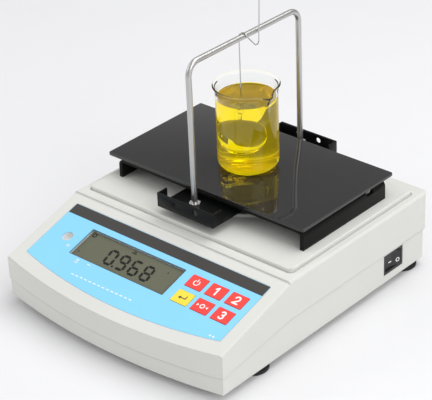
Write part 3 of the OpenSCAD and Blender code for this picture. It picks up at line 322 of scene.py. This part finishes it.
def softened(node, material, width, segments=3, angle=40):
    """A copy of a CAD node whose sharp edges are rounded, as a moulding or bent sheet has them."""
    source = frame["nodes"][node]
    bm = bmesh.new()
    bm.from_mesh(source.data)
    bmesh.ops.remove_doubles(bm, verts=bm.verts, dist=2e-6)
    bmesh.ops.dissolve_limit(bm, angle_limit=math.radians(0.4), verts=bm.verts, edges=bm.edges)
    mesh = bpy.data.meshes.new(node + "_shell")
    bm.to_mesh(mesh)
    bm.free()
    piece = bpy.data.objects.new(node + "_shell", mesh)
    bpy.context.scene.collection.objects.link(piece)
    bevel = piece.modifiers.new("round", "BEVEL")
    bevel.width = width
    bevel.segments = segments
    bevel.limit_method = "ANGLE"
    bevel.angle_limit = math.radians(angle)
    bevel.use_clamp_overlap = False
    apply_modifiers(piece)
    piece.data.materials.clear()
    piece.data.materials.append(material)
    soften(piece, 50)
    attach(piece, body_name(node))
    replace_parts(piece, node)
    return piece


def apply_modifiers(piece):
    graph = bpy.context.evaluated_depsgraph_get()
    graph.update()
    baked = bpy.data.meshes.new_from_object(piece.evaluated_get(graph))
    piece.modifiers.clear()
    piece.data = baked


def body_name(node):
    for body, nodes in frame["record"]["behaviour"]["bodies"].items():
        if node in nodes:
            return body
    raise KeyError(node)


# ------------------------------------------------------------------ finishes of the CAD nodes

FINISHES = {
    CASE: ["upper_case"],
    BASE: ["lower_case"],
    FILM: ["keypad_overlay"],
    KEY_RED: ["key_power", "key_one", "key_two", "key_zero", "key_three"],
    KEY_YELLOW: ["key_enter"],
    LCD: ["lcd_glass"],
    PANE: ["display_window"],
    LENS: ["level_lens"],
    LEVEL: ["level_cup"],
    BLACK: ["lcd_frame", "switch_housing", "rocker", "power_socket"],
    BOARD: ["key_board", "main_board"],
    CHIPS: ["board_parts"],
    STEEL: ["case_screws", "key_board_screws", "key_domes", "main_board_screws", "chassis_screws",
            "cell_base_screws", "stop_screw", "stop_nut", "carrier_screws", "tray_screw", "data_socket"],
    ALUMINIUM: ["chassis_plate", "cell_spacer", "load_cell", "pan_carrier"],
    RUBBER: ["post_seal", "bridge_pads"],
    ROD: ["hanger_frame"],
    NUT: ["hanger_nuts"],
    WIRE: ["suspension_wire"],
}
for end in ("front_left", "front_right", "rear_left", "rear_right"):
    FINISHES[RUBBER].append("foot_pad_" + end)
    FINISHES[BLACK].append("foot_screw_" + end)
for finish, names in FINISHES.items():
    for name in names:
        dress(name, finish)

softened("weighing_tray", TRAY, 0.35 * MM)
softened("bridge", BRIDGE, 0.3 * MM)
softened("top_plate", PLATE, 0.3 * MM)

# ------------------------------------------------------------------ beaker and liquid

RIM_REACH = 22.85 * MM                 # from the beaker's axis to the rim, where there is no spout
BEAKER_X = low("beaker").x + RIM_REACH
BEAKER_Y = (low("beaker").y + high("beaker").y) / 2
BEAKER_AXIS = Vector((BEAKER_X, BEAKER_Y, PLATE_TOP))
SPOUT_WAY = math.radians(-14)
BODY_R = 21.0                          # outside of the beaker's wall, in millimetres
INNER_R = 19.7                         # and its inside
INNER_CORNER = 5.1                     # rounding of the inside, down to the floor
FLOOR = 1.8                            # top of the beaker's floor
RIM_LOW = 58.6 * MM                    # above this the glass thickens into its rim


def spouted(mesh_verts, reach, dip):
    """Pulls the rim outwards and down round the spout."""
    for vert in mesh_verts:
        out = vert.co - BEAKER_AXIS
        rise = (out.z / MM - 47.0) / 13.5
        if rise <= 0:
            continue
        way = math.atan2(out.y, out.x) - SPOUT_WAY
        way = (way + math.pi) % math.tau - math.pi
        pull = math.exp(-(way / 0.20) ** 2) - 0.22 * math.exp(-((abs(way) - 0.50) / 0.24) ** 2)
        grow = rise * rise * (3 - 2 * min(rise, 1)) if rise < 1 else 1
        flat = Vector((out.x, out.y, 0)).normalized()
        vert.co += flat * pull * grow * reach
        vert.co.z -= max(pull, 0) * grow * dip


def beaker_glass():
    outer = [(0, 0.5), (11.5, 0.5), (13.4, 0.0), (14.4, 0.0)]
    outer += arc(14.4, 6.6, 6.6, -90, 0, 12)[1:]
    outer += [(BODY_R, 20), (BODY_R, 40), (BODY_R, 50), (21.08, 53.5), (21.35, 56.2), (21.9, 58.4)]
    rim = arc(22.2, 59.85, 0.62, -55, 165, 8)
    inner = [(20.75, 58.2), (20.1, 56.2), (19.8, 53.5), (INNER_R, 50), (INNER_R, 40), (INNER_R, 20)]
    inner += arc(INNER_R - INNER_CORNER, FLOOR + INNER_CORNER, INNER_CORNER, 0, -90, 10)
    inner += [(8, FLOOR), (0, FLOOR)]
    profile = [(r * MM, z * MM) for r, z in outer + rim + inner]
    bm = lathe(profile, BEAKER_AXIS, 144, closed=False)
    spouted(bm.verts, 4.6 * MM, 1.0 * MM)
    piece = from_bmesh("beaker_glass", bm, GLASS, "beaker")
    piece.data.materials.append(RIM)
    for face in piece.data.polygons:
        if face.center.z > PLATE_TOP + RIM_LOW:
            face.material_index = 1
    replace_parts(piece, "beaker")


def liquid(level):
    overlap = 0.04
    wall = INNER_R + overlap
    profile = [(0, FLOOR - overlap), (8, FLOOR - overlap)]
    profile += arc(INNER_R - INNER_CORNER, FLOOR + INNER_CORNER, INNER_CORNER + overlap, -90, 0, 10)
    profile += [(wall, 20), (wall, 40), (wall, level + 0.9)]
    profile += [(wall - 0.25, level + 0.55), (wall - 0.7, level + 0.25),
                (wall - 1.5, level + 0.06), (wall - 2.8, level), (8, level), (0, level)]
    bm = lathe([(r * MM, z * MM) for r, z in profile], BEAKER_AXIS, 144, closed=False)
    from_bmesh("liquid", bm, LIQUID, "beaker")


def bob_glass(radius, foot, top, rounding):
    """The solid glass sinker, its foot and top in millimetres above the plate: a stout round-ended
    body, a short neck and the eye that hangs in the wire."""
    eye, wire = 2.0, 0.4
    eye_z = (high("sinker").z - PLATE_TOP) / MM - eye - wire
    profile = [(0, foot)] + arc(radius - rounding, foot + rounding, rounding, -90, 0, 20)
    profile += arc(radius - rounding, top - rounding, rounding, 0, 88, 20)
    profile += [(1.3, top + 0.25), (0.85, top + 1.0), (0.8, eye_z - eye + 0.1), (0, eye_z - eye + 0.1)]
    axis = Vector((STRAND_X, STRAND_Y, PLATE_TOP))
    bm = lathe([(r * MM, z * MM) for r, z in profile], axis, 96, closed=False)
    add_ring(bm, axis + Vector((0, 0, eye_z * MM)), eye * MM, wire * MM)
    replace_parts(from_bmesh("bob_glass", bm, BOB, "sinker"), "sinker")


def add_ring(bm, centre, radius, thick, steps=32, sides=10):
    """A round ring that stands across the Y axis."""
    rings = []
    for i in range(steps):
        a = math.tau * i / steps
        way = Vector((math.cos(a), 0, math.sin(a)))
        rings.append([bm.verts.new(centre + way * (radius + thick * math.cos(math.tau * k / sides))
                                   + Vector((0, thick * math.sin(math.tau * k / sides), 0)))
                      for k in range(sides)])
    for first, second in zip(rings, rings[1:] + rings[:1]):
        for k in range(sides):
            m = (k + 1) % sides
            bm.faces.new([first[k], first[m], second[m], second[k]])


beaker_glass()
bob_glass(13.25, 13.95, 36.4, 10.0)
liquid(50.8)

# ------------------------------------------------------------------ printing on the panel


def flat_shape(name, outlines, level, material, body="case", thickness=0.02, rise=0.0):
    """Thin prints on the sloping panel: outlines of (x, s) in millimetres, at a level above it.
    Outlines that overlap each lie a little higher than the last."""
    bm = bmesh.new()
    for order, outline in enumerate(outlines):
        height = level + order * rise
        top = [bm.verts.new(on_slope(x, s, height)) for x, s in outline]
        bottom = [bm.verts.new(on_slope(x, s, height - thickness)) for x, s in outline]
        bm.faces.new(top)
        bm.faces.new(bottom[::-1])
        count = len(outline)
        for i in range(count):
            j = (i + 1) % count
            bm.faces.new([top[i], bottom[i], bottom[j], top[j]])
    return from_bmesh(name, bm, material, body, smooth=False)


def bar(x0, s0, x1, s1, width):
    """A straight stroke from one point to another."""
    along = Vector((x1 - x0, s1 - s0)).normalized()
    side = Vector((-along.y, along.x)) * width / 2
    return [(x0 + side.x, s0 + side.y), (x0 - side.x, s0 - side.y),
            (x1 - side.x, s1 - side.y), (x1 + side.x, s1 + side.y)]


def ring_parts(cx, cs, radius, width, start=0, stop=360, steps=24):
    """A ring or an open arc, as short four-sided pieces."""
    outer = arc(cx, cs, radius + width / 2, start, stop, steps)
    inner = arc(cx, cs, radius - width / 2, start, stop, steps)
    return [[outer[i], outer[i + 1], inner[i + 1], inner[i]] for i in range(steps)]


def disc(cx, cs, radius, steps=24):
    return arc(cx, cs, radius, 0, 360 - 360 / steps, steps - 1)


OVERLAY_HALF = 85.7 - 0.15
STRIP_LOW = 51.6
STRIP_HIGH = 60.4 - 0.15
PRINT = 0.03                       # height of the prints above the film
flat_shape("header_strip", [[(-OVERLAY_HALF, STRIP_LOW), (OVERLAY_HALF, STRIP_LOW),
                             (OVERLAY_HALF, STRIP_HIGH), (-OVERLAY_HALF, STRIP_HIGH)]],
           PRINT, STRIP)

# Segments of the display. The digits lean as they do in the photograph.
DIGIT_H = 11.6
DIGIT_W = 6.2
DIGIT_PITCH = 10.7
DIGIT_LEAN = -0.12
DIGIT_S = 27.2
DIGIT_X = -31.4
STROKE = 2.0
LCD_INK = -1.7 + 0.03              # just above the glass
SEGMENTS = {"0": "abcdef", "1": "bc", "2": "abged", "3": "abgcd", "4": "fgbc", "5": "afgcd",
            "6": "afgedc", "7": "abc", "8": "abcdefg", "9": "abcdfg"}


def segment(letter, x, s):
    """One hexagonal stroke of a seven-segment digit whose lower left corner is at x, s."""
    half = DIGIT_H / 2
    gap = 0.22
    across = {"a": 2 * half, "g": half, "d": 0}
    upright = {"f": (0, half), "b": (DIGIT_W, half), "e": (0, 0), "c": (DIGIT_W, 0)}
    t = STROKE / 2
    if letter in across:
        v = across[letter]
        points = [(gap, v), (gap + t, v + t), (DIGIT_W - gap - t, v + t), (DIGIT_W - gap, v),
                  (DIGIT_W - gap - t, v - t), (gap + t, v - t)]
    else:
        u, v = upright[letter]
        points = [(u, v + gap), (u + t, v + gap + t), (u + t, v + half - gap - t), (u, v + half - gap),
                  (u - t, v + half - gap - t), (u - t, v + gap + t)]
    return [(x + px + DIGIT_LEAN * ps, s + ps) for px, ps in points]


digits = []
for place_index, figure in enumerate("0968"):
    for letter in SEGMENTS[figure]:
        digits.append(segment(letter, DIGIT_X + place_index * DIGIT_PITCH, DIGIT_S))
digits.append(disc(DIGIT_X + DIGIT_W + 2.1, DIGIT_S, 0.85, 12))
digits.append(disc(15.7, 40.0, 0.55, 12))
digits.append(disc(-54.0, 27.4, 0.55, 12))
digits += ring_parts(-53.9, 43.6, 1.45, 0.95)
digits += [bar(-19.2, 43.2, -15.2, 43.2, 0.9), bar(-18.2, 44.6, -16.2, 44.6, 0.9)]
flat_shape("lcd_figures", digits, LCD_INK, LCD_BLACK)

# Dark border round the display window: a thin print, and its wider top stroke is painted shade of the
# window's edge.
WIN_LEFT, WIN_LOW, WIN_RIGHT, WIN_HIGH = -57.4, 22.4, 26.0, 46.4
BORDER_GAP = 0.15
flat_shape("window_border_and_shade",
           [bar(WIN_LEFT, WIN_HIGH + BORDER_GAP, WIN_RIGHT, WIN_HIGH + BORDER_GAP, 0.5),
            bar(WIN_LEFT, WIN_LOW - BORDER_GAP, WIN_RIGHT, WIN_LOW - BORDER_GAP, 0.3),
            bar(WIN_LEFT - BORDER_GAP, WIN_LOW, WIN_LEFT - BORDER_GAP, WIN_HIGH, 0.3),
            bar(WIN_RIGHT + BORDER_GAP, WIN_LOW, WIN_RIGHT + BORDER_GAP, WIN_HIGH, 0.5)],
           PRINT, DARK_INK_AND_SHADE)

# Signs on the keys, in millimetres from each key's middle.
KEY_TOP = 0.3 + 0.03
KEY_X = (40.2, 56.9, 73.6)
KEY_S = (41.0, 26.7)


def stroke(points, width):
    """A line of constant width with round joints."""
    shapes = [bar(*a, *b, width) for a, b in zip(points, points[1:])]
    return shapes + [disc(x, s, width / 2, 12) for x, s in points]


def sign(name, key, x, s, shapes, material):
    moved = [[(x + px, s + ps) for px, ps in shape] for shape in shapes]
    flat_shape(name, moved, KEY_TOP, material, key, rise=0.004)


sign("sign_power", "key_power", KEY_X[0], KEY_S[0],
     ring_parts(0, -0.2, 2.1, 0.7, 128, 412) + stroke([(0, 0.5), (0, 2.7)], 0.7), INK_WHITE)
sign("sign_one", "key_one", KEY_X[1], KEY_S[0],
     stroke([(-1.3, 1.6), (0.3, 2.9), (0.3, -2.9)], 1.25), INK_WHITE)
sign("sign_two", "key_two", KEY_X[2], KEY_S[0],
     stroke(arc(0, 1.1, 1.75, 165, -35, 10) + [(-1.9, -2.8), (2.0, -2.8)], 1.2), INK_WHITE)
sign("sign_zero", "key_zero", KEY_X[1], KEY_S[1],
     ring_parts(0, 0, 1.5, 0.75) + [[(-4.4, 1.1), (-4.4, -1.1), (-2.7, 0)],
                                    [(4.4, -1.1), (4.4, 1.1), (2.7, 0)]], INK_WHITE)
sign("sign_three", "key_three", KEY_X[2], KEY_S[1],
     stroke(arc(-0.2, 1.35, 1.45, 150, -90, 10) + arc(-0.2, -1.4, 1.55, 90, -150, 10), 1.2), INK_WHITE)
sign("sign_enter", "key_enter", KEY_X[0], KEY_S[1],
     stroke([(2.6, 1.8), (2.6, -0.5), (-1.2, -0.5)], 0.75)
     + [[(-3.2, -0.5), (-1.2, 0.9), (-1.2, -1.9)]], DARK_INK_AND_SHADE)

# Small plain marks beside the level and the window, and a dashed line below.
marks = ring_parts(-63.0, 27.0, 0.9, 0.45, steps=12) + ring_parts(-47.0, 19.4, 0.9, 0.45, steps=12)
marks += [bar(-38.2, 19.8, -35.6, 19.8, 0.55), bar(-48.4, 17.4, -45.6, 17.4, 0.4)]
for i in range(14):
    x = -42.4 + i * 3.95
    marks.append(bar(x, 8.4 + 0.05 * i, x + 2.2, 8.4 + 0.05 * i, 0.8))
marks += [disc(77.0, 10.2, 0.7, 12), disc(79.6, 10.3, 0.7, 12)]
flat_shape("plain_marks", marks, PRINT, INK_WHITE)

# Signs on the rocker: a stroke for on and a ring for off, on its two slanting faces.
ROCKER_AXIS = Vector((0.0907, CORNER_Y + 0.174, (low("rocker").z + high("rocker").z) / 2))
ROCKER_TILT = math.radians(-8)


def on_rocker(v, w, h=0.02):
    """A point v behind the rocker's middle and w above it, in millimetres, on its face."""
    u = 3.1 - 0.9 * (1 - abs(v) / 7.6) + h
    return ROCKER_AXIS + Vector((u * math.cos(ROCKER_TILT) - v * math.sin(ROCKER_TILT),
                                 u * math.sin(ROCKER_TILT) + v * math.cos(ROCKER_TILT), w)) * MM


def rocker_sign(name, outlines):
    bm = bmesh.new()
    for outline in outlines:
        front = [bm.verts.new(on_rocker(v, w)) for v, w in outline]
        back = [bm.verts.new(on_rocker(v, w, -0.02)) for v, w in outline]
        bm.faces.new(front)
        bm.faces.new(back[::-1])
        for i in range(len(outline)):
            j = (i + 1) % len(outline)
            bm.faces.new([front[i], back[i], back[j], front[j]])
    from_bmesh(name, bm, INK_WHITE, "rocker", smooth=False)


rocker_sign("sign_on", [bar(-3.0, -1.0, 0.0, -1.0, 0.75)])
rocker_sign("sign_off", ring_parts(5.4, -1.6, 1.3, 0.6))

# ------------------------------------------------------------------ floor, light and camera

STAGE = plastic("stage_white", (0.80, 0.80, 0.812), rough=0.7, vary=0.004, grain=40, grain_depth=0)


def stage_floor():
    bm = bmesh.new()
    size = 6.0
    corners = [bm.verts.new((sx * size, sy * size, 0)) for sx, sy in ((-1, -1), (1, -1), (1, 1), (-1, 1))]
    bm.faces.new(corners)
    mesh = bpy.data.meshes.new("floor")
    bm.to_mesh(mesh)
    bm.free()
    floor = bpy.data.objects.new("floor", mesh)
    floor.data.materials.append(STAGE)
    bpy.context.scene.collection.objects.link(floor)


def soft_light(name, position, target, size, power):
    lamp = bpy.data.lights.new(name, "AREA")
    lamp.shape = "RECTANGLE"
    lamp.size = size[0]
    lamp.size_y = size[1]
    lamp.energy = power
    holder = bpy.data.objects.new(name, lamp)
    holder.location = position
    holder.rotation_euler = (Vector(target) - Vector(position)).to_track_quat("-Z", "Y").to_euler()
    bpy.context.scene.collection.objects.link(holder)


def world_light(strength):
    world = bpy.data.worlds.new("studio")
    bpy.context.scene.world = world
    world.use_nodes = True
    back = world.node_tree.nodes["Background"]
    back.inputs["Color"].default_value = (1.0, 1.0, 1.01, 1)
    back.inputs["Strength"].default_value = strength


CAMERA_AZIMUTH = math.radians(42.714)
CAMERA_ELEVATION = math.radians(29.577)
CAMERA_ROLL = math.radians(-2.489)
CAMERA_POSITION = (0.69246, -0.74667, 0.64366)
CAMERA_LENS = 147.43


def camera():
    a, e, r = CAMERA_AZIMUTH, CAMERA_ELEVATION, CAMERA_ROLL
    forward = Vector((-math.sin(a) * math.cos(e), math.cos(a) * math.cos(e), -math.sin(e)))
    right = Vector((math.cos(a), math.sin(a), 0))
    up = right.cross(forward)
    rolled_right = math.cos(r) * right + math.sin(r) * up
    rolled_up = -math.sin(r) * right + math.cos(r) * up
    data = bpy.data.cameras.new("camera")
    data.sensor_width = 36
    data.lens = CAMERA_LENS
    data.clip_start = 0.01
    holder = bpy.data.objects.new("camera", data)
    basis = Matrix((rolled_right, rolled_up, -forward)).transposed()
    holder.matrix_world = Matrix.Translation(CAMERA_POSITION) @ basis.to_4x4()
    bpy.context.scene.collection.objects.link(holder)
    bpy.context.scene.camera = holder


stage_floor()
world_light(0.47)
soft_light("key", (0.35, 0.5, 1.6), (0, 0, 0.05), (1.4, 1.4), 17)
soft_light("fill", (-1.4, -0.6, 1.0), (0, 0, 0.05), (1.2, 1.2), 5)
soft_light("front_fill", (-0.9, -1.3, 0.9), (0, 0, 0.05), (1.0, 1.0), 3.5)
soft_light("side_fill", (1.3, -0.3, 0.9), (0, 0, 0.05), (1.0, 1.0), 8)
camera()
bpy.context.scene.view_settings.view_transform = "Standard"
